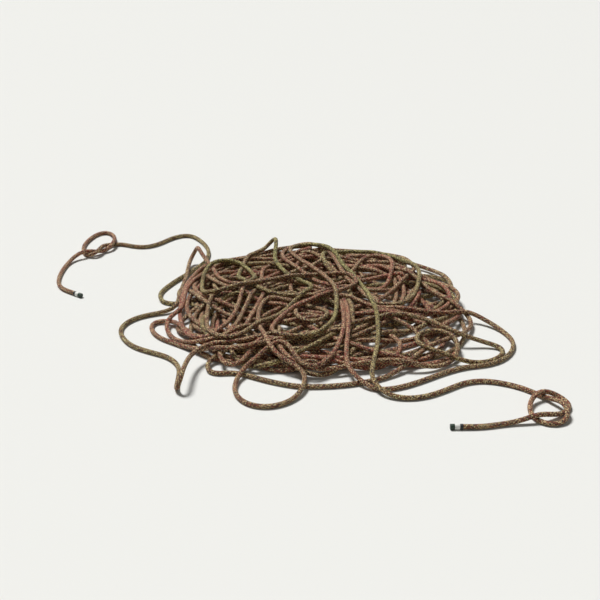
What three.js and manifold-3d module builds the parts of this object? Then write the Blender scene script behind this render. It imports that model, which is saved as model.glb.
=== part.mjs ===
// A dynamic climbing rope, flaked loosely onto the ground: a low heap of loops, and two free
// ends that lie out to the left and to the right, each with an open overhand knot and a
// shrink-sleeved tip. Millimetres, +Z up, the ground at z = 0.
//
// A climbing rope is a kernmantle: a braided sheath over a bundle of laid core strands. The
// last stretch at each tip is built piece by piece, as a cut through the rope shows it. The
// heap and the free runs are the closed outer shape of the same sheath.
import * as THREE from "three";
import * as BufferGeometryUtils from "three/addons/utils/BufferGeometryUtils.js";
import Module from "manifold-3d";

// ---------------------------------------------------------------- driving dimensions
const ropeDiameter = 9.8;
const pieceGap = 0.3; // between pieces that touch

// the heap: four layers of loops
const heapHalfLength = 320; // of the outermost loop, left to right
const heapHalfDepth = 280; // of the outermost loop, front to back
const heapCentreX = 10;
const heapCentreY = -5;
const heapLoops = 23.2;
const heapLayers = 4;
const firstLoopSteps = 62; // the first loop strays, so it is drawn finer
const stepsPerLoop = 22; // in each of the others
const loopSides = 6;
const looseness = 2.7; // air between a layer and the one that bridges over it
const startAngleDegrees = 170; // where the first loop begins, seen from above
const innerLoopHalfLength = 77; // where the spiral turns round in the middle
const secondLayerHalfLength = 288; // where it turns round at the edge
const topLayerHalfLength = 256; // where the top layer ends
const wobbleOfThree = 19; // three-lobed wander of a loop, at the outermost loop
const wobbleOfTwo = 16; // two-lobed wander
const centreDrift = 13; // how far the middle of the loops wanders
const entryBend = 42; // how far the first bend reaches into the heap
const entryLoopShare = 0.06; // of the first loop, taken up by that bend

// stray loops of the bottom layer: where along the first loop, how far out, how wide, and
// how far the loop's two sides are pushed apart
const strayLoops = [
  { at: 0.11, reach: 34, width: 0.045, swell: 0 }, // back left
  { at: 0.525, reach: 88, width: 0.075, swell: 60 }, // far right
  { at: 0.765, reach: 150, width: 0.04, swell: 70 }, // front circle
  { at: 0.925, reach: 135, width: 0.042, swell: 55 }, // left
];

// the free runs
const runSides = 8;

// the tips
const tipLength = 40; // from the free run to the cut end
const sheathWall = 1.0;
const innerStrands = 3;
const outerSlots = 9; // one of them holds the marker tape
const strandLay = 120; // length in which a strand goes once round
const strandSteps = 4;
const strandSides = 6;
const tapeWidth = 1.2;
const tapeThickness = 0.3;
const sleeveWall = 0.45;
const sleeveSqueeze = 0.35; // how much the sleeve draws the sheath in
const sleeveTaper = 1.6;
const blackBandLength = 5.8;
const whiteBandLength = 9.4;
const greenBandLength = 8.2;
const fusedTipThickness = 1.8;
const fusedTipDome = 0.7;
const tipSides = 18;

// ---------------------------------------------------------------- derived sizes
const ropeRadius = ropeDiameter / 2;
const footDepth = ropeDiameter / 10; // the flat that the bottom loops stand on
const layerRise = ropeDiameter + looseness;
const heapFloor = ropeRadius - footDepth;
const loopsPerLayer = heapLoops / heapLayers;
const neckRadius = ropeRadius - sleeveSqueeze;
const sleeveBore = neckRadius + pieceGap;
const sleeveRadius = sleeveBore + sleeveWall;
const coreRadius = ropeRadius - sheathWall;

// ---------------------------------------------------------------- materials
function finish(color, roughness) {
  return new THREE.MeshStandardMaterial({ color, roughness, metalness: 0 });
}
const braid = finish(0x77584a, 0.85);
const coreNylon = finish(0xe9e6da, 0.7);
const markerTape = finish(0xd8c23a, 0.45);
const blackShrink = finish(0x1b1c1e, 0.4);
const whiteShrink = finish(0xe4e6e2, 0.4);
const greenShrink = finish(0x1f4b3a, 0.4);
const fusedNylon = finish(0x3a2c26, 0.35);

// ---------------------------------------------------------------- tubes
// A path through worked-out points, with a ring of the tube at each of them.
class PointPath extends THREE.Curve {
  constructor(points) {
    super();
    this.points = points;
  }
  getUtoTmapping(u) {
    return u;
  }
  getPoint(t, target = new THREE.Vector3()) {
    const place = t * (this.points.length - 1);
    const index = Math.min(Math.floor(place), this.points.length - 2);
    return target.lerpVectors(this.points[index], this.points[index + 1], place - index);
  }
  getTangent(t, target = new THREE.Vector3()) {
    const index = Math.round(t * (this.points.length - 1));
    const before = this.points[Math.max(index - 1, 0)];
    const after = this.points[Math.min(index + 1, this.points.length - 1)];
    return target.subVectors(after, before).normalize();
  }
}

function roundSection(radius, sides) {
  const corners = [];
  for (let side = 0; side < sides; side += 1) {
    const angle = (2 * Math.PI * side) / sides;
    corners.push(new THREE.Vector2(radius * Math.cos(angle), radius * Math.sin(angle)));
  }
  return new THREE.Shape(corners);
}

function tube(section, points) {
  return new THREE.ExtrudeGeometry(section, {
    steps: points.length - 1,
    extrudePath: new PointPath(points),
  });
}

// The least gap that a tube leaves to itself, measured on points along its centre line.
// Points nearer than this many diameters along the rope are the same bend.
const sameBend = 3.5;
function leastGap(points, diameter) {
  const pieces = 24;
  const samples = [];
  const runs = [];
  let run = 0;
  for (let index = 0; index + 1 < points.length; index += 1) {
    const length = points[index].distanceTo(points[index + 1]);
    for (let piece = 0; piece < pieces; piece += 1) {
      samples.push(new THREE.Vector3().lerpVectors(points[index], points[index + 1], piece / pieces));
      runs.push(run + (length * piece) / pieces);
    }
    run += length;
  }
  let least = Infinity;
  for (let one = 0; one < samples.length; one += 1) {
    for (let other = one + 1; other < samples.length; other += 1) {
      if (runs[other] - runs[one] < sameBend * diameter) continue;
      least = Math.min(least, samples[one].distanceToSquared(samples[other]));
    }
  }
  return Math.sqrt(least) - diameter;
}

// ---------------------------------------------------------------- free runs
// Points chosen by hand: x, y and the level that the rope lies at. Level 0 is the ground and
// each level above it is one more strand underneath.
const leftRoute = [
  [-594, 146, 0],
  [-609, 168, 0],
  [-618, 205, 0],
  [-620, 250, 0],
  [-616, 300, 0],
  [-605, 335, 0.4],
  [-592, 350, 0.9],
  [-576, 359, 1.05],
  [-563, 370, 0.6],
  [-545, 379, 0],
  [-525, 397, 0.5],
  [-518, 430, 1],
  [-523, 464, 0.5],
  [-534, 502, 0],
  [-553, 524, 0],
  [-573, 511, 0],
  [-589, 473, 0],
  [-596, 430, 0],
  [-592, 390, 0],
  [-580, 359, 0],
  [-558, 347, 0.4],
  [-546, 375, 1.05],
  [-541, 408, 0.6],
  [-524, 434, 0],
  [-500, 437, 0],
  [-471, 421, 0],
  [-437, 415, 0],
  [-405, 437, 0],
  [-372, 482, 0],
  [-335, 501, 0],
  [-300, 462, 0],
  [-273, 390, 0],
  [-276, 315, 0],
  [-308, 248, 0],
  [-345, 180, 0],
  [-366, 118, 0],
  [-354, 76, 0],
  [-334, 65, 0],
  [-322, 65, 0],
];
const rightRoute = [
  [22, 233, 3.1],
  [48, 217, 3.6],
  [66, 189, 4],
  [84, 145, 4],
  [101, 80, 4],
  [114, 5, 4],
  [123, -70, 4],
  [123, -135, 4],
  [119, -182, 4],
  [115, -214, 3.8],
  [110, -243, 3.1],
  [105, -268, 1.7],
  [101, -292, 0.4],
  [102, -317, 0],
  [113, -343, 0],
  [136, -363, 0],
  [170, -369, 0],
  [208, -359, 0],
  [246, -335, 0],
  [285, -307, 0],
  [320, -299, 0],
  [357, -308, 0],
  [392, -327, 0],
  [411, -344, 0],
  [426, -361, 0],
  [438, -379, 0.4],
  [452, -397, 0.9],
  [459, -420, 1],
  [459, -443, 0.5],
  [448, -460, 0],
  [429, -467, 0],
  [409, -463, 0],
  [396, -447, 0],
  [391, -422, 0],
  [396, -395, 0.3],
  [408, -374, 0.9],
  [428, -361, 1.1],
  [448, -360, 0.5],
  [465, -371, 0],
  [473, -393, 0],
  [467, -414, 0],
  [451, -429, 0],
  [426, -441, 0.5],
  [400, -450, 1],
  [376, -456, 0.4],
  [345, -462, 0],
  [312, -470, 0],
  [291, -475, 0],
];
const leftTip = new THREE.Vector3(-578, 134, sleeveRadius);
const rightTip = new THREE.Vector3(275, -475, sleeveRadius);

function routePoint([x, y, level]) {
  return new THREE.Vector3(x, y, ropeRadius + level * layerRise);
}

function outward(points, last, beforeLast) {
  return new THREE.Vector3().subVectors(points.at(last), points.at(beforeLast)).normalize();
}

// ---------------------------------------------------------------- the heap
// How far out the spiral is, in half lengths of the outermost loop, after so many loops.
function spiralShare(loop) {
  const turnsRound = [
    heapHalfLength,
    innerLoopHalfLength,
    secondLayerHalfLength,
    innerLoopHalfLength,
    topLayerHalfLength,
  ];
  const layer = Math.min(Math.floor(loop / loopsPerLayer), heapLayers - 1);
  const along = loop / loopsPerLayer - layer;
  return THREE.MathUtils.lerp(turnsRound[layer], turnsRound[layer + 1], along) / heapHalfLength;
}

// The height of the centre line: flat in a layer, one layer up over the half turn where the
// spiral turns round.
function loopHeight(loop) {
  let height = heapFloor;
  for (let reversal = 1; reversal < heapLayers; reversal += 1) {
    const middle = reversal * loopsPerLayer;
    height += layerRise * THREE.MathUtils.smoothstep(loop, middle - 0.25, middle + 0.25);
  }
  return height;
}

// What a stray loop adds outwards, and along the rope's way.
function strayShift(loop) {
  const shift = { outward: 0, forward: 0 };
  for (const stray of strayLoops) {
    const along = (loop - stray.at) / stray.width;
    const share = Math.exp(-(along ** 2));
    shift.outward += stray.reach * share;
    shift.forward += stray.swell * along * share;
  }
  return shift;
}

// A point of the heap's centre line after so many loops, clockwise seen from above.
function loopPoint(loop) {
  const angle = THREE.MathUtils.degToRad(startAngleDegrees) - 2 * Math.PI * loop;
  const share = spiralShare(loop);
  const stray = strayShift(loop);
  const wander =
    share * wobbleOfThree * Math.sin(3 * angle + 0.3 * loop) +
    share * wobbleOfTwo * Math.sin(2 * angle - 0.35 * loop) +
    stray.outward;
  const across = Math.cos(angle);
  const away = Math.sin(angle);
  const driftX = centreDrift * Math.sin(0.5 * loop);
  const driftY = centreDrift * Math.cos(0.4 * loop);
  return new THREE.Vector3(
    heapCentreX + driftX + (share * heapHalfLength + wander) * across + stray.forward * away,
    heapCentreY + driftY + (share * heapHalfDepth + wander) * away - stray.forward * across,
    loopHeight(loop),
  );
}

function heapPoints(entry, entryDirection) {
  const straight = ropeDiameter;
  const points = [entry.clone(), entry.clone().addScaledVector(entryDirection, straight)];
  const first = loopPoint(entryLoopShare);
  const forward = loopPoint(entryLoopShare + 0.01).sub(first).normalize();
  const bend = new THREE.CubicBezierCurve3(
    points[1],
    points[1].clone().addScaledVector(entryDirection, entryBend),
    first.clone().addScaledVector(forward, -entryBend),
    first,
  );
  points.push(...bend.getSpacedPoints(4).slice(1));
  for (const [from, to, perLoop] of [
    [entryLoopShare, 1, firstLoopSteps],
    [1, heapLoops, stepsPerLoop],
  ]) {
    const steps = Math.round((to - from) * perLoop);
    for (let step = 1; step <= steps; step += 1) {
      points.push(loopPoint(from + ((to - from) * step) / steps));
    }
  }
  const leaving = outward(points, -1, -2);
  points.push(points.at(-1).clone().addScaledVector(leaving, straight));
  return points;
}

// ---------------------------------------------------------------- boolean cut
const wasm = await Module();
wasm.setup();

function toSolid(geometry) {
  const bare = geometry.clone();
  bare.deleteAttribute("normal");
  bare.deleteAttribute("uv");
  const merged = BufferGeometryUtils.mergeVertices(bare);
  return new wasm.Manifold(
    new wasm.Mesh({
      numProp: 3,
      vertProperties: new Float32Array(merged.attributes.position.array),
      triVerts: new Uint32Array(merged.index.array),
    }),
  );
}

function toGeometry(solid) {
  const mesh = solid.getMesh();
  const geometry = new THREE.BufferGeometry();
  geometry.setAttribute("position", new THREE.BufferAttribute(mesh.vertProperties, 3));
  geometry.setIndex(new THREE.BufferAttribute(mesh.triVerts, 1));
  geometry.computeVertexNormals();
  return geometry;
}

// Cuts away what reaches below the ground, which leaves the heap its flat feet.
function cutFlat(geometry) {
  const reach = 4 * (heapHalfLength + heapHalfDepth);
  const ground = new THREE.BoxGeometry(reach, reach, reach);
  ground.translate(0, 0, -reach / 2);
  return toGeometry(toSolid(geometry).subtract(toSolid(ground)));
}

// ---------------------------------------------------------------- the rope's tips
// A tip is built along +Y, from its free run at y = 0 to the cut end, then laid in place.
function ring(profile) {
  const closed = [...profile, profile[0]];
  return new THREE.LatheGeometry(closed.map(([r, y]) => new THREE.Vector2(r, y)), tipSides);
}

const sleeveLength = blackBandLength + whiteBandLength + greenBandLength + 2 * pieceGap;
const fusedTipStart = tipLength - fusedTipThickness;
const sheathEnd = fusedTipStart - pieceGap;
const sleeveStart = tipLength - sleeveLength;

// The braided sheath of the tip: full size, then drawn in under the shrink sleeves.
function sheathTube() {
  return ring([
    [coreRadius, 0],
    [ropeRadius, 0],
    [ropeRadius, sleeveStart - pieceGap - sleeveTaper],
    [neckRadius, sleeveStart - pieceGap],
    [neckRadius, sheathEnd],
    [coreRadius, sheathEnd],
  ]);
}

// One shrink sleeve with softened rims.
function shrinkBand(start, length) {
  const rim = sleeveWall / 3;
  return ring([
    [sleeveBore, start],
    [sleeveRadius - rim, start],
    [sleeveRadius, start + rim],
    [sleeveRadius, start + length - rim],
    [sleeveRadius - rim, start + length],
    [sleeveBore, start + length],
  ]);
}

// The end where sheath and core were melted together by the hot knife: a low dome.
function fusedTip() {
  const profile = [
    new THREE.Vector2(0, fusedTipStart),
    new THREE.Vector2(neckRadius, fusedTipStart),
  ];
  const arcSteps = 3;
  for (let step = 0; step <= arcSteps; step += 1) {
    const angle = (Math.PI / 2) * (step / arcSteps);
    profile.push(
      new THREE.Vector2(
        step === arcSteps ? 0 : neckRadius * Math.cos(angle),
        tipLength - fusedTipDome + fusedTipDome * Math.sin(angle),
      ),
    );
  }
  return new THREE.LatheGeometry(profile, tipSides);
}

// Strand size that lets the inner ring and the outer ring fill the core with clear gaps.
const sineOfInner = Math.sin(Math.PI / innerStrands);
const coreRoom = coreRadius * Math.cos(Math.PI / tipSides) - 2 * pieceGap;
const strandRadius = (coreRoom - pieceGap / (2 * sineOfInner)) / (3 + 1 / sineOfInner);
const innerRing = (2 * strandRadius + pieceGap) / (2 * sineOfInner);
const outerRing = innerRing + 2 * strandRadius + pieceGap;

// A core strand, or the tape, follows a slow helix round the rope's axis.
function laidPiece(section, ringRadius, slotAngle) {
  const points = [];
  const length = sheathEnd - pieceGap;
  for (let step = 0; step <= strandSteps; step += 1) {
    const along = (length * step) / strandSteps;
    const angle = slotAngle + (2 * Math.PI * along) / strandLay;
    points.push(
      new THREE.Vector3(ringRadius * Math.cos(angle), along, -ringRadius * Math.sin(angle)),
    );
  }
  return tube(section, points);
}

function tapeSection() {
  const w = tapeWidth / 2;
  const t = tapeThickness / 2;
  return new THREE.Shape([
    new THREE.Vector2(-w, -t),
    new THREE.Vector2(w, -t),
    new THREE.Vector2(w, t),
    new THREE.Vector2(-w, t),
  ]);
}

function named(name, geometry, material) {
  const mesh = new THREE.Mesh(geometry, material);
  mesh.name = name;
  return mesh;
}

function ropeTip(side, place, direction) {
  const tip = new THREE.Group();
  tip.add(named(`${side}_sheath_end`, sheathTube(), braid));
  const strandSection = roundSection(strandRadius, strandSides);
  let strand = 1;
  for (let slot = 0; slot < innerStrands; slot += 1) {
    const angle = (2 * Math.PI * slot) / innerStrands;
    const geometry = laidPiece(strandSection, innerRing, angle);
    tip.add(named(`${side}_core_strand_${strand}`, geometry, coreNylon));
    strand += 1;
  }
  for (let slot = 1; slot < outerSlots; slot += 1) {
    const angle = (2 * Math.PI * slot) / outerSlots;
    const geometry = laidPiece(strandSection, outerRing, angle);
    tip.add(named(`${side}_core_strand_${strand}`, geometry, coreNylon));
    strand += 1;
  }
  tip.add(named(`${side}_marker_tape`, laidPiece(tapeSection(), outerRing, 0), markerTape));
  const whiteStart = sleeveStart + blackBandLength + pieceGap;
  const greenStart = whiteStart + whiteBandLength + pieceGap;
  tip.add(named(`${side}_black_band`, shrinkBand(sleeveStart, blackBandLength), blackShrink));
  tip.add(named(`${side}_white_band`, shrinkBand(whiteStart, whiteBandLength), whiteShrink));
  tip.add(named(`${side}_green_end_band`, shrinkBand(greenStart, greenBandLength), greenShrink));
  tip.add(named(`${side}_fused_tip`, fusedTip(), fusedNylon));
  tip.quaternion.setFromUnitVectors(new THREE.Vector3(0, 1, 0), direction);
  tip.position.copy(place).addScaledVector(direction, pieceGap);
  return tip;
}

// ---------------------------------------------------------------- assembly
const rope = new THREE.Group();
const section = roundSection(ropeRadius, runSides);
const loopSection = roundSection(ropeRadius, loopSides);

const leftPoints = [leftTip, ...leftRoute.map(routePoint)];
const entryDirection = outward(leftPoints, -1, -2);
const entry = leftPoints.at(-1).clone().addScaledVector(entryDirection, pieceGap);
const heapLine = heapPoints(entry, entryDirection);
const leavingDirection = outward(heapLine, -1, -2);
const runStart = heapLine.at(-1).clone().addScaledVector(leavingDirection, pieceGap);
const runOn = runStart.clone().addScaledVector(leavingDirection, ropeDiameter);
const rightPoints = [runStart, runOn, ...rightRoute.map(routePoint), rightTip];

rope.add(named("rope_heap", cutFlat(tube(loopSection, heapLine)), braid));
rope.add(named("left_free_run", tube(section, leftPoints), braid));
rope.add(named("right_free_run", tube(section, rightPoints), braid));
rope.add(ropeTip("left", leftTip, outward(leftPoints, 0, 1)));
rope.add(ropeTip("right", rightTip, outward(rightPoints, -1, -2)));

for (const [name, points] of [
  ["rope_heap", heapLine],
  ["left_free_run", leftPoints],
  ["right_free_run", rightPoints],
]) {
  console.log(`${name}: least gap to itself ${leastGap(points, ropeDiameter).toFixed(2)} mm`);
}

// The origin is the middle of the rope's outline on the ground.
rope.updateMatrixWorld(true);
const outline = new THREE.Box3().setFromObject(rope, true);
const middle = outline.getCenter(new THREE.Vector3());
rope.position.set(-middle.x, -middle.y, 0);

export default rope;
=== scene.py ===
import math

import bpy
import numpy as np
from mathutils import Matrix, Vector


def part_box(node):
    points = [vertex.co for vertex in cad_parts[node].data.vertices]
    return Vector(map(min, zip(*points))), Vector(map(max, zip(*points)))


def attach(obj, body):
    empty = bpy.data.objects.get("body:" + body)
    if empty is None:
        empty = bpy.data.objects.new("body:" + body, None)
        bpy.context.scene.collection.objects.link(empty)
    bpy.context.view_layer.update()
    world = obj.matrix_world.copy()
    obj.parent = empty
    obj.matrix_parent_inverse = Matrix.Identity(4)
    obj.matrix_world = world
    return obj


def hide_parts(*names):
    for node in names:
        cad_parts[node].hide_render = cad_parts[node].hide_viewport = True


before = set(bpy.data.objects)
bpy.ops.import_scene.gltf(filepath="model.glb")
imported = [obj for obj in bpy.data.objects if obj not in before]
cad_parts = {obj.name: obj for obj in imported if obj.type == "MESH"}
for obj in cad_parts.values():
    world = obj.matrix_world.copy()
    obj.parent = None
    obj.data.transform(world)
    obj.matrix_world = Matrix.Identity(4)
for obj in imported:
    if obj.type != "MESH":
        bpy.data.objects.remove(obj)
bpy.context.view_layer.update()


# ------------------------------------------------------------------ camera
# A camera on a stand in front of the rope, looking down at it at about 24 degrees, with a
# slightly long lens. The stand's place is given from the middle of the heap.
MM = 0.001


def frame_shift(node, made_at):
    """What is added to a place measured from the heap's middle to get its place in the frame:
    the middle of that node's box less the place where the node's middle was made."""
    low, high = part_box(node)
    return (np.array(low) + np.array(high)) / 2 - np.array(made_at) * MM


rope_radius = 4.9
sleeve_radius = 5.3
tip_length = 40.0
fused_tip_thickness = 1.8
left_tip_face = np.array([-578.0, 134.0, sleeve_radius])
left_tip_direction = np.array([0.8, -0.6, 0.0])
right_tip_face = np.array([275.0, -475.0, sleeve_radius])
right_tip_direction = np.array([-1.0, 0.0, 0.0])
black_band_middle = 18.9
from_heap = frame_shift(
    "left_black_band", left_tip_face + left_tip_direction * black_band_middle
)
from_heap[2] = 0.0

camera_height = 1050.0
camera_stand = (-40.0, -2213.0)
camera_pitch_degrees = 24.44
camera_lens = 66.0
camera = bpy.data.objects.new("camera", bpy.data.cameras.new("camera"))
bpy.context.scene.collection.objects.link(camera)
camera.data.lens = camera_lens
camera.data.sensor_width = 36.0
camera.location = from_heap + np.array([*camera_stand, camera_height]) * MM
camera.rotation_euler = (math.radians(90 - camera_pitch_degrees), 0, 0)
camera.data.clip_end = 50
bpy.context.scene.camera = camera
bpy.context.scene.view_settings.view_transform = "Standard"


# ------------------------------------------------------------------ the rope's line
# A dynamic climbing rope, 60 m of 9.8 mm kernmantle, poured out in loops on the ground with
# both ends free. Its line is followed from the left tip, through the heap, to the right tip.
rope_diameter = 2 * rope_radius
level_rise = 12.5  # between two levels where the rope crosses itself with a knot's slack

# The two free runs: x, y and level, in millimetres from the heap's middle.
# Level 0 is the ground. Each holds one open overhand knot.
left_run = [
    (-594, 146, 0), (-609, 168, 0), (-618, 205, 0), (-620, 250, 0), (-616, 300, 0),
    (-605, 335, 0.4), (-592, 350, 0.9), (-576, 359, 1.05), (-563, 370, 0.6), (-545, 379, 0),
    (-525, 397, 0.5), (-518, 430, 1), (-523, 464, 0.5), (-534, 502, 0), (-553, 524, 0),
    (-573, 511, 0), (-589, 473, 0), (-596, 430, 0), (-592, 390, 0), (-580, 359, 0),
    (-558, 347, 0.4), (-546, 375, 1.05), (-541, 408, 0.6), (-524, 434, 0), (-500, 437, 0),
    (-471, 421, 0), (-437, 415, 0), (-405, 437, 0), (-372, 482, 0), (-335, 501, 0), (-300, 462, 0),
    (-273, 390, 0), (-276, 315, 0), (-308, 248, 0), (-345, 180, 0), (-366, 118, 0), (-354, 76, 0),
    (-334, 65, 0), (-322, 65, 0),
]
right_run = [
    (22, 233, 3.1), (48, 217, 3.6), (66, 189, 4), (84, 145, 4), (101, 80, 4), (114, 5, 4),
    (123, -70, 4), (123, -135, 4), (119, -182, 4), (115, -214, 3.8), (110, -243, 3.1),
    (105, -268, 1.7), (101, -292, 0.4), (102, -317, 0), (113, -343, 0), (136, -363, 0),
    (170, -369, 0), (208, -359, 0), (246, -335, 0), (285, -307, 0), (320, -299, 0), (357, -308, 0),
    (392, -327, 0), (411, -344, 0), (426, -361, 0), (438, -379, 0.4), (452, -397, 0.9),
    (459, -420, 1), (459, -443, 0.5), (448, -460, 0), (429, -467, 0), (409, -463, 0),
    (396, -447, 0), (391, -422, 0), (396, -395, 0.3), (408, -374, 0.9), (428, -361, 1.1),
    (448, -360, 0.5), (465, -371, 0), (473, -393, 0), (467, -414, 0), (451, -429, 0),
    (426, -441, 0.5), (400, -450, 1), (376, -456, 0.4), (345, -462, 0), (312, -470, 0),
    (291, -475, 0),
]
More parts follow.
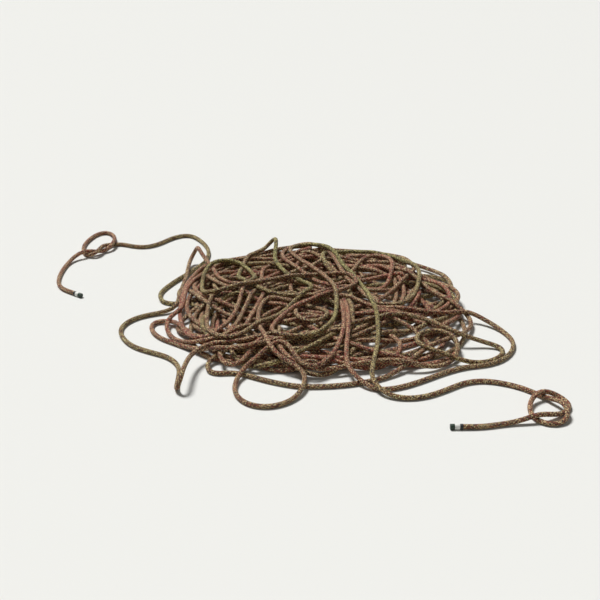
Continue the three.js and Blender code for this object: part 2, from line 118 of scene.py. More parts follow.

# The strands that lie on top of the heap, in the order in which they fell, each with its
# tones, from -1, olive, to 1, rust, which are spread evenly along the strand, and its points, x
# and y in millimetres from the heap's middle. A third number is found where a fold stands on
# edge: the height that the rope has at that point above one that lies on the ground.
upper_strands = [
    # A low sweep round the front and the right, as far as the back.
    (
        (-0.1, -0.1, 0.1, 0.2, 0.1),
        [
            (-153, -197), (-180, -196), (-204, -203), (-222, -215), (-228, -240), (-220, -264),
            (-202, -268), (-177, -262), (-150, -272), (-115, -292), (-79, -309), (-40, -321),
            (3, -321), (48, -315), (82, -305), (115, -292), (144, -272), (172, -246), (197, -216),
            (224, -180), (253, -157), (283, -134), (309, -100), (327, -62), (330, -34), (322, -13),
            (305, 10), (285, 35), (260, 78), (233, 126), (200, 166), (163, 214), (125, 251), (81, 258),
            (32, 244), (-16, 192),
        ],
    ),
    # A curl at the front left, a small loop at the right, and one that reaches out further.
    (
        (0.0, 0.2, 0.5, 0.2, 0.0, -0.2, -0.3, -0.1, 0.0),
        [
            (-64, 166), (-109, 111), (-142, 52), (-161, -27), (-172, -95), (-186, -150),
            (-199, -182), (-202, -212), (-194, -242), (-176, -259), (-157, -253), (-144, -230),
            (-130, -205), (-120, -184), (-104, -172), (-86, -178), (-78, -198), (-74, -222),
            (-58, -245), (-32, -260), (-4, -268), (40, -259), (81, -246), (122, -240),
            (163, -238), (195, -244), (224, -243), (250, -231), (272, -213), (286, -190),
            (290, -167), (287, -144), (273, -121), (250, -110), (225, -117), (208, -137),
            (203, -163), (211, -186), (231, -199), (257, -208), (282, -219), (310, -225),
            (340, -218), (365, -202), (384, -176), (385, -155), (364, -144), (335, -139),
            (307, -137), (276, -126), (254, -98), (223, -71), (185, -58), (143, -71), (99, -95),
            (55, -119), (12, -149),
        ],
    ),
    # A fold that pokes out on the left.
    (
        (0.1, 0.5, 0.3),
        [
            (-40, -176), (-101, -198), (-162, -215), (-215, -190), (-260, -154), (-294, -128),
            (-327, -105), (-349, -76), (-358, -46), (-353, -24), (-336, -22), (-315, -30),
            (-288, -76), (-257, -135), (-222, -175), (-189, -180), (-159, -145), (-141, -82),
            (-127, -15), (-114, 45),
        ],
    ),
    # A ring round the left side.
    (
        (0.1, 0.3, 0.7, 0.7, 0.2, 0.0, 0.8),
        [
            (-116, 95), (-140, 112), (-160, 85), (-168, 18), (-178, -50), (-200, -124),
            (-227, -158), (-254, -156), (-277, -123), (-292, -54), (-299, 18), (-297, 86),
            (-290, 150), (-272, 205), (-243, 250), (-205, 283), (-168, 305), (-130, 329),
            (-90, 352), (-60, 374), (-30, 380), (-8, 358), (-14, 320),
        ],
    ),
    # A second ring round the left side.
    (
        (0.4, 0.2, 0.7, 0.7, 0.3, 0.1, 0.1),
        [
            (-40, 297), (-82, 290), (-126, 287), (-172, 275), (-212, 245), (-245, 205), (-268, 162),
            (-282, 110), (-286, 51), (-289, -6), (-304, -22), (-315, -42), (-317, -66), (-311, -90),
            (-292, -123), (-266, -151), (-231, -174), (-193, -178), (-157, -148), (-130, -112),
            (-100, -100), (-76, -116), (-82, -146), (-108, -164),
        ],
    ),
    # A long loop out to the left and back, with a fold on edge at the front left, and a peak on
    # edge at the back left.
    (
        (0.2, 0.1, -0.1, -0.2, -0.3, -0.3, -0.1, 0.1, 0.4, 0.4),
        [
            (-135, -178), (-163, -186), (-194, -186), (-221, -188), (-238, -199, 26),
            (-252, -220, 26), (-261, -252, 29), (-265, -290, 33), (-267, -323, 36),
            (-269, -338, 30), (-274, -344, 16), (-279, -338, 2), (-281, -323, -3), (-281, -300, 0),
            (-281, -270), (-282, -252), (-288, -230), (-299, -210), (-314, -194), (-338, -180),
            (-364, -166), (-389, -148), (-413, -115), (-427, -76), (-425, -46), (-409, -17),
            (-383, 4), (-353, 16), (-331, 24), (-317, 40), (-313, 90), (-311, 150),
            (-309, 210, 8), (-309, 250, 11), (-309, 302, 8), (-306, 317, 13), (-298, 323, 26),
            (-291, 317, 39), (-288, 302, 45), (-281, 284, 41), (-271, 263, 36), (-260, 240, 32),
            (-250, 214, 31), (-240, 178), (-226, 132),
        ],
    ),
    # A round loop that lies out in front.
    (
        (0.2, 0.3, 0.5, 0.0, 0.3, 0.15, 0.0, -0.1, 0.4, 0.1),
        [
            (-191, 98), (-150, 89), (-97, 99), (-40, 108), (6, 86), (39, 40), (55, -16), (55, -124),
            (42, -190), (24, -238), (0, -272), (-24, -285), (-44, -268), (-58, -235), (-73, -207),
            (-89, -201), (-107, -215), (-129, -239), (-148, -256), (-163, -282), (-170, -313),
            (-167, -345), (-155, -371), (-135, -390), (-110, -397), (-86, -392), (-63, -377),
            (-44, -352), (-32, -318), (-31, -288), (-42, -266), (-60, -255), (-80, -243), (-101, -218),
            (-119, -160), (-133, -75), (-131, -7),
        ],
    ),
    # A curl in the middle, then two turns at the back right.
    (
        (0.1, 0.0, -0.2, 0.1, 0.3, 0.6, 0.5, 0.3, -0.3, -0.7, -0.7, -0.4, 0.0, 0.2, 0.3),
        [
            (-110, 35), (-93, 26), (-73, 19), (-45, 13), (-16, 3), (8, -19), (20, -50), (13, -85),
            (-8, -105), (-32, -100), (-47, -70), (-47, -34), (-33, 3), (-11, 29), (26, 60),
            (75, 94), (116, 101), (150, 97), (172, 136), (182, 188), (178, 240), (160, 275),
            (134, 280), (112, 248), (92, 195), (68, 158), (42, 160), (24, 192), (20, 250),
            (42, 318), (78, 340), (122, 336), (164, 321), (200, 289), (227, 238), (237, 162),
            (229, 89), (213, 33), (188, 2), (158, -11), (130, 1), (108, 43), (86, 91), (66, 126),
            (54, 185), (40, 250), (26, 308),
        ],
    ),
    # A wide loop that reaches furthest right.
    (
        (0.5, 0.3, 0.4, 0.5, 0.5, 0.1, 0.0, -0.1, -0.2, 0.1, 0.35, 0.4, 0.1, -0.4, -0.7),
        [
            (8, 350), (-22, 370), (-56, 360), (-79, 322), (-80, 265), (-60, 205), (-21, 150),
            (11, 110), (35, 84), (52, 52), (60, 18), (62, -54), (58, -148), (51, -224), (52, -268),
            (63, -291), (80, -313), (102, -331), (132, -330), (164, -317), (197, -297), (232, -272),
            (267, -250), (297, -237), (326, -231), (354, -220), (380, -198), (401, -162), (408, -124),
            (399, -87), (382, -57), (359, -36), (334, -20), (307, -22), (274, -37), (239, -42),
            (200, -40), (161, -37), (124, -35), (92, -14), (60, 12), (16, 19), (-29, 16), (-67, 17),
            (-103, 25), (-135, 53), (-163, 84), (-180, 113), (-183, 164),
        ],
    ),
    # A narrow fold on edge at the back, then turns at the upper left.
    (
        (0.0, -0.3, -0.8, -0.7, -0.3, 0.1, -0.3, -0.8, -0.3, 0.1, 0.3),
        [
            (-178, 215), (-170, 262), (-157, 296, 28), (-141, 318, 28), (-128, 333, 29),
            (-122, 348, 32), (-113, 354, 41), (-104, 348, 51), (-101, 333, 55), (-101, 310, 51),
            (-102, 285, 43), (-103, 258, 37), (-101, 225), (-87, 185), (-61, 124), (-36, 90),
            (-15, 71), (-22, 35), (-45, 2), (-73, -36), (-100, -79), (-127, -121), (-152, -161),
            (-179, -190), (-208, -186), (-230, -144), (-240, -50), (-231, 7), (-206, 37),
            (-175, 48), (-149, 60), (-139, 102), (-148, 162), (-168, 198), (-198, 230),
            (-229, 226), (-254, 187), (-263, 127), (-258, 44), (-244, 13), (-218, 18), (-188, 40),
            (-148, 59), (-97, 89), (-45, 117), (6, 143), (55, 141), (86, 115), (92, 87), (71, 61),
        ],
    ),
    # A last turn in the middle.
    (
        (0.3, 0.7, 0.5, 0.0, -0.4, -0.7, 0.1, 0.3, 0.0, -0.7, -0.8),
        [
            (40, 28), (9, 12), (-22, -15), (-53, -40), (-81, -80), (-97, -130), (-94, -171),
            (-71, -189), (-36, -187), (-3, -169), (21, -129), (38, -72), (43, -21), (42, 25), (37, 65),
            (22, 114), (-5, 165), (-36, 232), (-60, 290), (-62, 332), (-38, 350), (-4, 338), (24, 300),
            (46, 252),
        ],
    ),
]


# The loops below them. Sizes are shares of the heap's half width. A sway is its swing, its
# cycles in a turn and its phase in radians: these were picked by trying sets of them, for a
# heap that fills its outline evenly with no tight bend.
base_turns = 29.54
points_per_turn = 90
base_centre = (6.0, 46.0)
base_half_width = 314.0
base_reach = 0.97
base_start_degrees = 165
middle_width = 0.69
width_sway = (0.187, 0.413, 4.3)
middle_depth = 0.593
slow_depth_sway = (0.168, 0.275, 0.41)
quick_depth_sway = (0.078, 0.871, 2.0)
drift_rate = 0.317
drift_start = 1.12
drift_sway = (0.68, 0.113, 0.0)
askew_sway = (0.30, 0.231, 6.16)
askew_share = 0.7


def sway(turn, swing, rate, phase):
    """A slow swing to both sides as the rope is laid: swing times the sine of rate cycles a
    turn, begun at the phase."""
    return swing * np.sin(2 * np.pi * rate * turn + phase)


def looped_base(turns):
    """The lower part of the heap, laid turn on turn, clockwise from above: flat loops whose
    width and depth swell and shrink slowly, each pushed as far off centre as its size leaves
    room for, in a direction that wanders round the heap, each a little askew and a little
    out of round. The tone, in the last column, wanders from olive through brown to rust."""
    turn = np.linspace(0, turns, int(turns * points_per_turn))
    angle = np.radians(base_start_degrees) - 2 * np.pi * turn
    wide = middle_width + sway(turn, *width_sway)
    deep = middle_depth + sway(turn, *slow_depth_sway) + sway(turn, *quick_depth_sway)
    drift = 2 * np.pi * drift_rate * turn + drift_start + sway(turn, *drift_sway)
    three_sided = 0.05 * np.sin(3 * angle + 1.3 * turn)
    two_sided = 0.04 * np.sin(2 * angle - 0.9 * turn)
    out_of_round = 1 + three_sided + two_sided
    across = (base_reach - wide) * np.cos(drift) + wide * out_of_round * np.cos(angle)
    away = (base_reach - deep) * np.sin(drift) + deep * out_of_round * np.sin(angle)
    away = away + sway(turn, *askew_sway) * across * askew_share
    tone = 0.15 + 0.6 * np.sin(3.6 * turn) * np.sin(1.07 * turn + 1)
    return np.column_stack(
        [
            base_centre[0] + base_half_width * across,
            base_centre[1] + base_half_width * away,
            np.zeros(len(turn)),
            np.zeros(len(turn)),
            tone,
        ]
    )


def lengths_along(line):
    """The distance along a line of points, zero at its first point: a row's first three values
    are its place, and the rest goes with it."""
    steps = np.linalg.norm(np.diff(line[:, :3], axis=0), axis=1)
    return np.concatenate([[0.0], np.cumsum(steps)])


def evenly(line, spacing):
    """The same line with its points about spacing apart."""
    along = lengths_along(line)
    wanted = np.linspace(0, along[-1], int(round(along[-1] / spacing)) + 1)
    return np.column_stack([np.interp(wanted, along, line[:, k]) for k in range(line.shape[1])])


def curve_through(points, pieces):
    """A centripetal Catmull-Rom curve through the points: each piece is the blend of the
    two neighbouring parabolas, with knots at the square root of the chord lengths."""
    points = np.asarray(points, float)
    ends = (2 * points[:1] - points[1:2], 2 * points[-1:] - points[-2:-1])
    p = np.vstack([ends[0], points, ends[1]])
    chords = np.linalg.norm(np.diff(p[:, :3], axis=0), axis=1)
    knot = np.concatenate([[0], np.cumsum(np.sqrt(chords))])
    share = np.linspace(0, 1, pieces, endpoint=False)[None, :, None]
    p0, p1, p2, p3 = (p[k : len(p) - 3 + k, None, :] for k in range(4))
    t0, t1, t2, t3 = (knot[k : len(p) - 3 + k, None, None] for k in range(4))
    t = t1 + (t2 - t1) * share

    def blend(a, b, ta, tb):
        return ((tb - t) * a + (t - ta) * b) / (tb - ta)

    first, middle, last = blend(p0, p1, t0, t1), blend(p1, p2, t1, t2), blend(p2, p3, t2, t3)
    curve = blend(blend(first, middle, t0, t2), blend(middle, last, t1, t3), t1, t2)
    return np.vstack([curve.reshape(-1, p.shape[1]), p[-2:-1]])


def softened(values, spread):
    """A Gaussian moving mean along the line, spread points wide, its ends held in place."""
    reach = int(3 * spread)
    weights = np.exp(-0.5 * (np.arange(-reach, reach + 1) / spread) ** 2)
    weights /= weights.sum()

    def one(column):
        before = 2 * column[0] - column[reach:0:-1]
        after = 2 * column[-1] - column[-2 : -reach - 2 : -1]
        return np.convolve(np.concatenate([before, column, after]), weights, "valid")

    if values.ndim == 1:
        return one(values)
    return np.column_stack([one(values[:, k]) for k in range(values.shape[1])])


settle_spacing = 4.0
base_spacing = 30.0
base_loops = evenly(looped_base(base_turns), base_spacing)
exit_start = 2  # the point of the right run that the last upper strand leads to
floor_start = 18  # the point where the right run has reached the ground
under_the_heap = [(-300, 70), (-284, 90)]  # from the left run to the first loop
left_tones = (0.2, 0.5, 0.35, 0.4, 0.1, -0.15, -0.4, -0.55)
entry_tones = (left_tones[-1], 0.1)
right_tones = (-0.1, 0.25, 0.1, 0.2, 0.45, 0.2, 0.1, -0.05)
exit_tones = (-0.8, -0.4, right_tones[0])


def strand_rows(tones, strand):
    """Rows of x, y, height, whether the strand stands at that height, and tone: a point with
    a height of its own stands there, and the tones are spread evenly over the points."""
    marks = np.linspace(0, 1, len(tones))
    shares = np.linspace(0, 1, len(strand))
    rows = []
    for point, tone in zip(strand, np.interp(shares, marks, tones)):
        stands = len(point) == 3
        height = point[2] if stands else 0
        rows.append((point[0], point[1], height, stands, tone))
    return rows


entry_points = [(x, y) for x, y, _ in left_run[-3:]] + under_the_heap
exit_points = [(x, y) for x, y, _ in right_run[exit_start : floor_start + 1]]
heap_entry = strand_rows(entry_tones, entry_points)
heap_exit = strand_rows(exit_tones, exit_points)
upper = [row for tones, strand in upper_strands for row in strand_rows(tones, strand)]
heap_curve = curve_through([*heap_entry, *base_loops[1:], *upper, *heap_exit], pieces=8)
plan = evenly(softened(evenly(heap_curve, settle_spacing), spread=2.5), settle_spacing)


def near_pairs(places, reach, apart):
    """Every pair of points of the line that lie within reach of each other in plan and more
    than apart points along it, later point first: each point is filed under its square of
    the ground, and met with those of its own and the neighbouring squares."""
    cell = np.floor(places / reach).astype(int)
    cell -= cell.min(0)
    wide = cell[:, 1].max() + 3
    key = (cell[:, 0] + 1) * wide + cell[:, 1] + 1
    order = np.argsort(key, kind="stable")
    filed = key[order]
    pairs = []
    for step in (0, 1, wide - 1, wide, wide + 1):
        start = np.searchsorted(filed, key + step, "left")
        end = np.searchsorted(filed, key + step, "right")
        count = end - start
        one = np.repeat(np.arange(len(key)), count)
        within = np.arange(count.sum()) - np.repeat(np.cumsum(count) - count, count)
        other = order[np.repeat(start, count) + within]
        if step == 0:
            one, other = one[one > other], other[one > other]
        later, earlier = np.maximum(one, other), np.minimum(one, other)
        close = ((places[later] - places[earlier]) ** 2).sum(1) < reach**2
        keep = close & (later - earlier > apart)
        pairs.append((later[keep], earlier[keep]))
    later = np.concatenate([pair[0] for pair in pairs])
    earlier = np.concatenate([pair[1] for pair in pairs])
    order = np.argsort(later, kind="stable")
    return later[order], earlier[order]


settling_stages = ((3.0, 190), (0.6, 110), (0.15, 100), (0.05, 60))  # fall of a step, steps
laid_from = 600.0  # how high the last point of the line starts above the first
stiffness_spread = 5.0  # points of the line
evened_share = 0.7
pinned_points = 20
parting_rounds = 3
rising_share = 0.6
sinking_share = 0.4
least_rise = 0.05
on_edge = 0.97  # in the column that says whether the strand stands, 0 to 1 between points
pair_reach = 1.5 * rope_diameter
pair_apart = int(120 / settle_spacing)  # 120 mm along the line, within which it can't touch
pair_renewal = 20  # steps


def settled(plan_line):
    """Lets the line down on the ground in the order in which it was laid. Each step lowers
    it, evens out its height as a stiff rope would, and parts strands that overlap: the later
    one goes up and the earlier one down by their share of the overlap, and both aside. After
    the first stage the folds that stand on edge are held at their own height."""
    count = len(plan_line)
    stands = plan_line[:, 3] > on_edge
    standing = np.maximum(plan_line[:, 2], 0) + rope_radius
    line = np.column_stack([plan_line[:, :2], rope_radius + np.linspace(0, laid_from, count)])
    from_ends = np.minimum(np.arange(count), np.arange(count)[::-1])
    pinned = np.clip(from_ends / pinned_points, 0, 1)
    for stage, (fall, steps) in enumerate(settling_stages):
        for step in range(steps):
            if step % pair_renewal == 0:
                later, earlier = near_pairs(line[:, :2], pair_reach, pair_apart)
                _, later_starts = np.unique(later, return_index=True)
                later_points = later[later_starts]
                by_earlier = np.argsort(earlier, kind="stable")
                earlier_points, earlier_starts = np.unique(earlier[by_earlier], return_index=True)
            line[:, 2] -= fall
            bend = line[:, 2] - softened(line[:, 2], stiffness_spread)
            bend -= softened(bend, stiffness_spread)
            line[:, 2] -= evened_share * bend
            aside = softened(line[:, :2] - plan_line[:, :2], stiffness_spread)
            line[:, :2] = plan_line[:, :2] + aside * pinned[:, None]
            for _ in range(parting_rounds):
                between = line[later] - line[earlier]
                distance = np.sqrt((between**2).sum(1))
                overlap = np.maximum(rope_diameter - distance, 0)
                direction = between / np.maximum(distance, 1e-6)[:, None]
                least_lift = np.maximum(overlap / rope_diameter, least_rise)
                lift = overlap * np.maximum(direction[:, 2], least_lift)
                up = np.zeros(count)
                up[later_points] = np.maximum.reduceat(lift, later_starts)
                down = np.zeros(count)
                down[earlier_points] = np.maximum.reduceat(lift[by_earlier], earlier_starts)
                line[:, 2] += rising_share * up - sinking_share * down
                touching = overlap > 0
                for points, sign in ((later, 0.5), (earlier, -0.5)):
                    shared = np.maximum(np.bincount(points[touching], minlength=count), 1)
                    for k in (0, 1):
                        push = np.bincount(points, overlap * direction[:, k], minlength=count)
                        line[:, k] += sign * push / shared
                line[:, 2] = np.maximum(line[:, 2], rope_radius)
                if stage > 0:
                    line[stands, 2] = standing[stands]
    return np.column_stack([line, plan_line[:, 4]])


def run_points(run, tones):
    """The places of a listed run, with the tones spread evenly over them: the level
    gives the height of the rope's middle."""
    spread = np.interp(np.linspace(0, 1, len(run)), np.linspace(0, 1, len(tones)), tones)
    return [
        (x, y, rope_radius + level * level_rise, tone) for (x, y, level), tone in zip(run, spread)
    ]


heap_line = settled(plan)
left_start = (*left_tip_face, left_tones[0])
right_end = (*right_tip_face, right_tones[-1])
left_points = run_points(left_run[:-2], left_tones)
right_points = run_points(right_run[floor_start:], right_tones)
left_line = curve_through([left_start, *left_points], pieces=12)
right_line = curve_through([*right_points, right_end], pieces=12)
left_line = softened(evenly(left_line, settle_spacing), spread=3.0)
right_line = softened(evenly(right_line, settle_spacing), spread=3.0)
rope_line = np.vstack([left_line[:-1], heap_line, right_line[1:]])
rope_line = evenly(softened(evenly(rope_line, settle_spacing), spread=2.0), settle_spacing)
rope_line[:, 2] = np.maximum(rope_line[:, 2], rope_radius)
rope_length = lengths_along(rope_line)[-1]


# ------------------------------------------------------------------ the braided sheath
# One woven tube from tip to tip, of 40 polyamide yarns. It is drawn in under the shrink
# sleeves at each tip, and is built here as one piece that stands for the whole CAD sheath.
ring_sides = 12
ring_spacing = 7.3
neck_radius = 4.55
sheath_end = 37.9  # from the tip's face, as the others here
mid_sleeve = 26.8
neck_start = 15.7
before_sleeves = 8.0


def surface(name, grid, uv):
    """A mesh from a grid of points (ring, side, xyz), closed round each ring and shut at both
    ends. Each corner's UV is the distance along for its ring and the share round for its side."""
    rings, sides = grid.shape[:2]
    ring = np.arange(rings - 1)[:, None]
    side = np.arange(sides)[None, :]
    following = (side + 1) % sides
    corners = [
        ring * sides + side,
        ring * sides + following,
        (ring + 1) * sides + following,
        (ring + 1) * sides + side,
    ]
    faces = np.stack(corners, axis=2).reshape(-1, 4)
    shape = (rings - 1, sides)
    along = np.stack([np.broadcast_to(uv[ring + k], shape) for k in (0, 0, 1, 1)], axis=2)
    share = np.stack([np.broadcast_to((side + k) / sides, shape) for k in (0, 1, 1, 0)], axis=2)
    mesh = bpy.data.meshes.new(name)
    vertices = grid.reshape(-1, 3)
    mesh.vertices.add(len(vertices))
    mesh.vertices.foreach_set("co", vertices.ravel())
    first_end = np.arange(sides)[::-1]
    last_end = (rings - 1) * sides + np.arange(sides)
    loop_vertices = np.concatenate([faces.ravel(), first_end, last_end])
    mesh.loops.add(len(loop_vertices))
    mesh.loops.foreach_set("vertex_index", loop_vertices.astype(np.int32))
    totals = np.concatenate([np.full(len(faces), 4), np.full(2, sides)])
    starts = np.concatenate([[0], np.cumsum(totals)[:-1]])
    mesh.polygons.add(len(totals))
    mesh.polygons.foreach_set("loop_start", starts.astype(np.int32))
    mesh.polygons.foreach_set("loop_total", totals.astype(np.int32))
    mesh.update(calc_edges=True)
    layer = mesh.uv_layers.new(name="along_round")
    values = np.zeros((len(loop_vertices), 2))
    values[: faces.size, 0] = along.ravel()
    values[: faces.size, 1] = share.ravel()
    layer.data.foreach_set("uv", values.ravel())
    mesh.polygons.foreach_set("use_smooth", np.ones(len(totals), bool))
    piece = bpy.data.objects.new(name, mesh)
    bpy.context.scene.collection.objects.link(piece)
    return piece


def tube_grid(line, radii, sides):
    """Rings round a line: each ring is the circle of its radius in the plane across the
    line, turned so that its first side lies level with the ground."""
    forward = np.gradient(line, axis=0)
    forward /= np.linalg.norm(forward, axis=1)[:, None]
    level = np.cross(forward, [0.0, 0.0, 1.0])
    level /= np.linalg.norm(level, axis=1)[:, None]
    upward = np.cross(level, forward)
    angle = 2 * np.pi * np.arange(sides) / sides
    circle = (
        np.cos(angle)[None, :, None] * level[:, None, :]
        - np.sin(angle)[None, :, None] * upward[:, None, :]
    )
    return line[:, None, :] + radii[:, None, None] * circle


tip_rings = np.array(
    [sheath_end, mid_sleeve, neck_start + 0.5, neck_start - 0.3, before_sleeves]
)
stations = np.concatenate(
    [
        -tip_rings,
        np.linspace(0, rope_length, int(round(rope_length / ring_spacing)) + 1),
        rope_length + tip_rings[::-1],
    ]
)
with_tips = np.vstack(
    [
        [*(left_tip_face + left_tip_direction * sheath_end), left_tones[0]],
        rope_line,
        [*(right_tip_face + right_tip_direction * sheath_end), right_tones[-1]],
    ]
)
measured = lengths_along(with_tips) - sheath_end
rings = np.column_stack([np.interp(stations, measured, with_tips[:, k]) for k in range(4)])
ring_places, ring_tones = rings[:, :3], rings[:, 3]
into_tip = np.maximum(-stations, stations - rope_length)
radii = np.where(into_tip > neck_start, neck_radius, rope_radius)
in_frame = ring_places * MM + from_heap
sheath = surface("braided_sheath", tube_grid(in_frame, radii * MM, ring_sides), stations * MM)


def paint(red, green, blue):
    """A colour as an eye names it, 0 to 255 a channel, turned into Blender's linear one."""
    shares = [channel / 255 for channel in (red, green, blue)]
    return (*[x / 12.92 if x <= 0.04045 else ((x + 0.055) / 1.055) ** 2.4 for x in shares], 1.0)


def new_material(name, roughness):
    """A material and its surface shader, with only the roughness set."""
    material = bpy.data.materials.new(name)
    material.use_nodes = True
    shader = material.node_tree.nodes["Principled BSDF"]
    shader.inputs["Roughness"].default_value = roughness
    return material, shader


def maths(tree, operation, *values):
    """One Math node: each value is a number, or another node's output."""
    node = tree.nodes.new("ShaderNodeMath")
    node.operation = operation
    for socket, value in zip(node.inputs, values):
        if isinstance(value, (int, float)):
            socket.default_value = value
        else:
            tree.links.new(value, socket)
    return node.outputs[0]


def blend_colours(tree, share, first, second, blend_type="MIX"):
    """A Mix node between two colours, each a colour or another node's output. No channel of
    the result passes 1."""
    node = tree.nodes.new("ShaderNodeMix")
    node.data_type = "RGBA"
    node.blend_type = blend_type
    node.clamp_result = True
    for socket, value in ((0, share), (6, first), (7, second)):
        if isinstance(value, (int, float, tuple)):
            node.inputs[socket].default_value = value
        else:
            tree.links.new(value, node.inputs[socket])
    return node.outputs[2]


def yarn_colour(tree, number, colours):
    """The colour at that place in the order of the yarns, from a ramp with a step for each."""
    ramp = tree.nodes.new("ShaderNodeValToRGB")
    ramp.color_ramp.interpolation = "CONSTANT"
    stops = ramp.color_ramp.elements
    count = len(yarn_order)
    while len(stops) < count:
        stops.new(1.0)
    for index, letter in enumerate(yarn_order):
        stops[index].position = index / count
        stops[index].color = colours[letter]
    middle = maths(tree, "MULTIPLY", maths(tree, "ADD", number, 0.5), 1 / count)
    tree.links.new(middle, ramp.inputs[0])
    return ramp.outputs[0]


yarns_each_way = 20
braid_pitch = 0.034  # the metres along in which a yarn goes once round
# The yarns' colours in their order round the sheath, first for one way, then for the other:
# pale, middle, russet, dark and black.
yarn_order = "PMDRMPBMDPRDMBDP" + "MDPRMBDMPDRBRMPD"
dye_lots = 4.0  # each stretch on top draws one of these lots,
lot_step = 5.0  # and each lot moves it this many places on in the order
filament_rate = 12 * math.pi  # radians across a yarn: six filaments
filament_height = 0.08  # as a share of the yarn's
groove_light = 0.18  # painted shade: the share of the colour left along a yarn's edge, where it meets the next
darkest_stretch = 0.75
stretch_spread = 0.5
brown_yarns = {
    "P": paint(255, 228, 168),
    "M": paint(158, 100, 56),
    "R": paint(140, 66, 40),
    "D": paint(66, 36, 22),
    "B": paint(26, 16, 12),
}
olive_yarns = {
    "P": paint(240, 236, 146),
    "M": paint(142, 136, 50),
    "R": paint(116, 106, 42),
    "D": paint(62, 56, 24),
    "B": paint(28, 26, 12),
}
rust_yarns = {
    "P": paint(255, 202, 160),
    "M": paint(204, 90, 68),
    "R": paint(172, 60, 46),
    "D": paint(96, 34, 28),
    "B": paint(36, 18, 14),
}


def braid_material():
    """Two families of yarns wind round the sheath in opposite ways. With a share v round and
    a distance u along, their numbers are the whole parts of n v + n u / pitch and
    n v - n u / pitch. Each yarn goes over two of the others and under the next two, because
    the sum of the numbers, counted in fours, says which family is on top. A stretch of yarn
    that shows on top is one cell, and draws its shade and its lot of dye."""
    material, shader = new_material("braided_polyamide", 0.62)
    tree = material.node_tree
    uv = tree.nodes.new("ShaderNodeUVMap")
    uv.uv_map = "along_round"
    parts = tree.nodes.new("ShaderNodeSeparateXYZ")
    tree.links.new(uv.outputs[0], parts.inputs[0])
    along, share = parts.outputs[0], parts.outputs[1]
    turned = maths(tree, "MULTIPLY", share, float(yarns_each_way))
    advanced = maths(tree, "MULTIPLY", along, yarns_each_way / braid_pitch)
    one_way = maths(tree, "ADD", turned, advanced)
    other_way = maths(tree, "SUBTRACT", turned, advanced)
    one = maths(tree, "FLOOR", one_way)
    other = maths(tree, "FLOOR", other_way)
    both = maths(tree, "ADD", one, other)
    crossing = maths(tree, "FLOORED_MODULO", both, 4.0)
    first_on_top = maths(tree, "LESS_THAN", crossing, 1.5)
    one_number = maths(tree, "FLOORED_MODULO", one, float(yarns_each_way))
    other_number = maths(tree, "FLOORED_MODULO", other, float(yarns_each_way))
    other_key = maths(tree, "ADD", other_number, float(yarns_each_way))
    difference = maths(tree, "SUBTRACT", one_number, other_key)
    key_on_top = maths(tree, "ADD", other_key, maths(tree, "MULTIPLY", difference, first_on_top))
    cell = tree.nodes.new("ShaderNodeCombineXYZ")
    lead = maths(tree, "SUBTRACT", one, other)
    on_top = maths(tree, "ADD", other, maths(tree, "MULTIPLY", lead, first_on_top))
    tree.links.new(on_top, cell.inputs[0])
    tree.links.new(maths(tree, "FLOOR", maths(tree, "DIVIDE", both, 4.0)), cell.inputs[1])
    draw = tree.nodes.new("ShaderNodeTexWhiteNoise")
    draw.noise_dimensions = "2D"
    tree.links.new(cell.outputs[0], draw.inputs["Vector"])
    lot = maths(tree, "FLOOR", maths(tree, "MULTIPLY", draw.outputs["Value"], dye_lots))
    dyed = maths(tree, "ADD", key_on_top, maths(tree, "MULTIPLY", lot, lot_step))
    key_on_top = maths(tree, "FLOORED_MODULO", dyed, float(len(yarn_order)))
    tone = tree.nodes.new("ShaderNodeAttribute")
    tone.attribute_name = "tone"
    to_rust = maths(tree, "MAXIMUM", tone.outputs["Fac"], 0.0)
    to_olive = maths(tree, "MAXIMUM", maths(tree, "MULTIPLY", tone.outputs["Fac"], -1.0), 0.0)
    colour = yarn_colour(tree, key_on_top, brown_yarns)
    colour = blend_colours(tree, to_rust, colour, yarn_colour(tree, key_on_top, rust_yarns))
    colour = blend_colours(tree, to_olive, colour, yarn_colour(tree, key_on_top, olive_yarns))
    second_on_top = maths(tree, "SUBTRACT", 1.0, first_on_top)
    half_turn_one = maths(tree, "MULTIPLY", maths(tree, "FRACT", one_way), math.pi)
    half_turn_other = maths(tree, "MULTIPLY", maths(tree, "FRACT", other_way), math.pi)
    top_one = maths(tree, "MULTIPLY", maths(tree, "SINE", half_turn_one), first_on_top)
    top_other = maths(tree, "MULTIPLY", maths(tree, "SINE", half_turn_other), second_on_top)
    height = maths(tree, "ADD", top_one, top_other)
    lines_one = maths(tree, "MULTIPLY", one_way, first_on_top)
    lines_other = maths(tree, "MULTIPLY", other_way, second_on_top)
    across_yarn = maths(tree, "ADD", lines_one, lines_other)
    filament = maths(tree, "SINE", maths(tree, "MULTIPLY", across_yarn, filament_rate))
    woven = maths(tree, "ADD", height, maths(tree, "MULTIPLY", filament, filament_height))
    drawn_shade = maths(tree, "MULTIPLY", draw.outputs["Value"], stretch_spread)
    uneven = maths(tree, "ADD", drawn_shade, darkest_stretch)
    # Painted shade and highlight: each yarn's colour is lightest on its top and darkest at its edges,
    # in the grooves where it meets the next, times the drawn unevenness of its stretch.
    shade = maths(tree, "MULTIPLY", maths(tree, "ADD", height, groove_light), uneven)
    colour = blend_colours(tree, 1.0, colour, shade, "MULTIPLY")
    tree.links.new(colour, shader.inputs["Base Color"])
    bump = tree.nodes.new("ShaderNodeBump")
    bump.inputs["Distance"].default_value = 0.0005
    bump.inputs["Strength"].default_value = 0.8
    tree.links.new(woven, bump.inputs["Height"])
    tree.links.new(bump.outputs[0], shader.inputs["Normal"])
    shader.inputs["Sheen Weight"].default_value = 0.08
    shader.inputs["Sheen Roughness"].default_value = 0.5
    return material


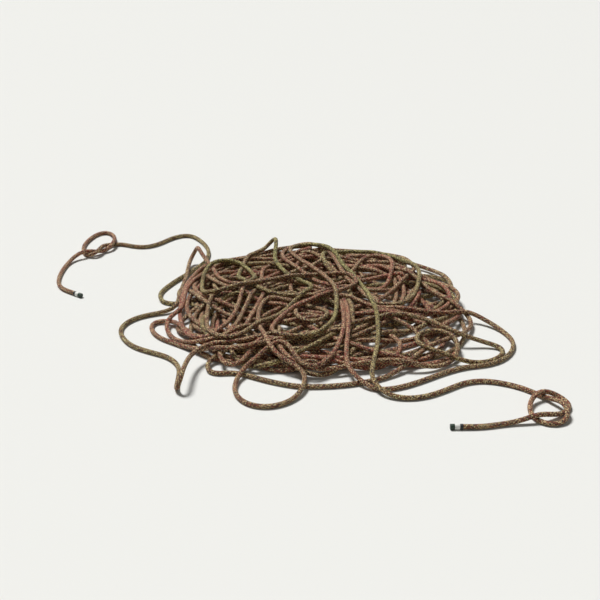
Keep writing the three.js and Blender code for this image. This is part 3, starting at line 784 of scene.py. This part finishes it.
sheath.data.materials.append(braid_material())
tone = sheath.data.attributes.new("tone", "FLOAT", "POINT")
tone.data.foreach_set("value", np.repeat(ring_tones, ring_sides))
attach(sheath, "root")
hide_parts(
    "rope_heap", "left_free_run", "right_free_run", "left_sheath_end", "right_sheath_end"
)


# ------------------------------------------------------------------ the banded tips
# Each end is fused with a hot knife and closed with three heat-shrink sleeves: black, white,
# and dark green at the very end. The sleeves grip the sheath and stand just proud of it.
tip_sides = 48
sleeve_bore = 4.56
rim = 0.35
fused_radius = 4.5
dome_height = 0.7


def lathed(name, profile, face, direction, finish):
    """A profile of (radius, distance) points turned round the tip's own axis, which starts at
    the tip's face and runs in its direction."""
    profile = np.array(profile)
    centres = face + direction * profile[:, 1:2]
    level = np.cross(direction, [0.0, 0.0, 1.0])
    upward = np.cross(level, direction)
    angle = 2 * np.pi * np.arange(tip_sides) / tip_sides
    circle = np.cos(angle)[None, :, None] * level - np.sin(angle)[None, :, None] * upward
    grid = centres[:, None, :] + profile[:, 0][:, None, None] * circle
    piece = surface(name, grid * MM + from_heap, profile[:, 1] * MM)
    piece.data.materials.append(finish)
    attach(piece, "root")
    return piece


def sleeve_profile(start, length):
    """A shrunk sleeve from the side: up a small quarter round, along the top, and down."""
    rising = [
        (sleeve_radius - rim + rim * np.sin(turned), start + rim - rim * np.cos(turned))
        for turned in np.linspace(0, np.pi / 2, 5)
    ]
    falling = [(radius, 2 * start + length - place) for radius, place in rising[::-1]]
    return [(sleeve_bore, start), *rising, *falling, (sleeve_bore, start + length)]


def melted_profile():
    """The fused end from the side: straight to the rim, then a low dome that stops just short
    of the middle."""
    dome = [
        (fused_radius * np.cos(turned), tip_length - dome_height + dome_height * np.sin(turned))
        for turned in np.linspace(0, 1.5, 6)
    ]
    return [(fused_radius, tip_length - fused_tip_thickness), *dome]


def plain_finish(name, colour, roughness):
    """One plain finish, with fine unevenness in its height from a noise on Object places."""
    material, shader = new_material(name, roughness)
    shader.inputs["Base Color"].default_value = colour
    tree = material.node_tree
    places = tree.nodes.new("ShaderNodeTexCoord")
    noise = tree.nodes.new("ShaderNodeTexNoise")
    noise.inputs["Scale"].default_value = 700.0
    tree.links.new(places.outputs["Object"], noise.inputs["Vector"])
    bump = tree.nodes.new("ShaderNodeBump")
    bump.inputs["Distance"].default_value = 0.0001
    bump.inputs["Strength"].default_value = 0.35
    tree.links.new(noise.outputs["Fac"], bump.inputs["Height"])
    tree.links.new(bump.outputs[0], shader.inputs["Normal"])
    return material


black_shrink = plain_finish("black_shrink_sleeve", paint(34, 34, 36), 0.5)
white_shrink = plain_finish("white_shrink_sleeve", paint(226, 226, 220), 0.5)
green_shrink = plain_finish("dark_green_shrink_sleeve", paint(38, 58, 44), 0.5)
fused_nylon = plain_finish("fused_nylon", paint(92, 72, 56), 0.3)
strand_nylon = plain_finish("core_nylon", paint(232, 230, 222), 0.6)
tape_film = plain_finish("marker_tape", paint(200, 205, 205), 0.4)

# Each sleeve: its CAD band, where it starts from the tip's face, its length, slot and finish.
bands = [
    ("black_band", 16.0, 5.8, "black_shrink", black_shrink),
    ("white_band", 22.1, 9.4, "white_shrink", white_shrink),
    ("green_end_band", 31.8, 8.2, "green_shrink", green_shrink),
]
tips = [
    ("left", left_tip_face, left_tip_direction),
    ("right", right_tip_face, right_tip_direction),
]
core_strands = 11
for side, face, direction in tips:
    for band, start, length, slot_name, finish in bands:
        profile = sleeve_profile(start, length)
        piece = lathed(f"{side}_{band}_sleeve", profile, face, direction, finish)
        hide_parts(f"{side}_{band}")
    piece = lathed(
        f"{side}_melted_end", melted_profile(), face, direction, fused_nylon
    )
    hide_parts(f"{side}_fused_tip")
    for number in range(1, core_strands + 1):
        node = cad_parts[f"{side}_core_strand_{number}"]
        node.data.materials.clear()
        node.data.materials.append(strand_nylon)
    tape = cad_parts[f"{side}_marker_tape"]
    tape.data.materials.clear()
    tape.data.materials.append(tape_film)


# ------------------------------------------------------------------ ground and light
# A plain pale ground, a wide soft lamp high up behind on the left, a weaker one in front on
# the right, and an even pale sky that fills the shadows. What the camera sees of it is pale.
ground_mesh = bpy.data.meshes.new("ground")
far = 60.0  # metres
sky_light = 0.12
sky_seen = 0.84  # more of it where the camera looks at it
ground_mesh.from_pydata(
    [(-far, -far, 0), (far, -far, 0), (far, far, 0), (-far, far, 0)], [], [(0, 1, 2, 3)]
)
ground = bpy.data.objects.new("ground", ground_mesh)
bpy.context.scene.collection.objects.link(ground)
ground_material, ground_shader = new_material("pale_ground", 0.9)
ground_shader.inputs["Base Color"].default_value = paint(224, 224, 220)
ground_mesh.materials.append(ground_material)


def soft_sun(name, direction, softness_degrees, strength):
    """A sun that shines from a direction: the wider its disc, the softer its shadows."""
    light = bpy.data.lights.new(name, "SUN")
    light.angle = math.radians(softness_degrees)
    light.energy = strength
    holder = bpy.data.objects.new(name, light)
    bpy.context.scene.collection.objects.link(holder)
    x, y, z = direction
    down_from_zenith = math.acos(z / math.hypot(x, y, z))
    holder.rotation_euler = (down_from_zenith, 0.0, math.atan2(y, x) + math.pi / 2)


soft_sun("high_soft_lamp", (-0.35, 0.45, 1.0), softness_degrees=18.0, strength=3.7)
soft_sun("front_fill_lamp", (0.5, -0.8, 0.8), softness_degrees=60.0, strength=0.2)
sky = bpy.data.worlds.new("pale_sky")
sky.use_nodes = True
sky_nodes = sky.node_tree
backdrop = sky_nodes.nodes["Background"]
backdrop.inputs["Color"].default_value = paint(244, 244, 240)
rays = sky_nodes.nodes.new("ShaderNodeLightPath")
seen = maths(sky_nodes, "MULTIPLY", rays.outputs["Is Camera Ray"], sky_seen)
sky_nodes.links.new(maths(sky_nodes, "ADD", seen, sky_light), backdrop.inputs["Strength"])
bpy.context.scene.world = sky
